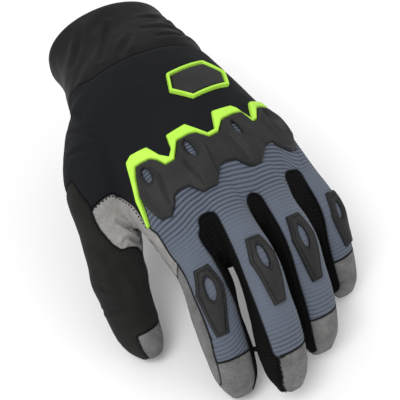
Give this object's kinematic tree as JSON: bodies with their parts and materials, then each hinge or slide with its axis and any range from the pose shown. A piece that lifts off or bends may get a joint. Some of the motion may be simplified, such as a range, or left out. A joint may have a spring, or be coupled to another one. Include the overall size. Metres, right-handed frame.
{
  "type": "motorcycle glove",
  "caption": "Full-finger motorcycle glove in its worn form, with stretch cuff, ribbed knit back, suede palm and fingertips, rubber knuckle protector and finger guards.",
  "frame": {"origin": "centre of the cuff's mouth, where the glove sits on the wrist", "axes": "+Y from the fingers out of the cuff's mouth, +Z out of the back of the hand, thumb on the -X side"},
  "size_m": [0.1189, 0.1961, 0.0894],
  "materials": {
    "stretch_cuff": "smooth stretch cloth",
    "black_knit": "fine ribbed knit",
    "slate_knit": "ribbed knit",
    "grey_suede": "suede",
    "light_suede": "suede",
    "black_suede": "suede",
    "side_mesh": "stretch mesh",
    "dark_rubber": "satin",
    "neon_rubber": "satin"
  },
  "bodies": {
    "root": {"cuff": "stretch_cuff", "back_upper": "black_knit", "back_lower": "slate_knit", "palm": "grey_suede", "thumb_web": "light_suede", "thumb_back": "black_suede", "thumb_tip": "grey_suede", "gusset_index_middle": "side_mesh", "gusset_middle_ring": "side_mesh", "gusset_ring_little": "side_mesh", "fingertip_index": "grey_suede", "fingertip_middle": "grey_suede", "fingertip_ring": "grey_suede", "fingertip_little": "grey_suede", "finger_guard_index": "dark_rubber", "finger_guard_middle": "dark_rubber", "finger_guard_ring": "dark_rubber", "finger_guard_little": "dark_rubber", "knuckle_protector": "dark_rubber", "zigzag_trim": "neon_rubber", "badge_pad": "dark_rubber", "badge_line": "neon_rubber"}
  },
  "joints": []
}
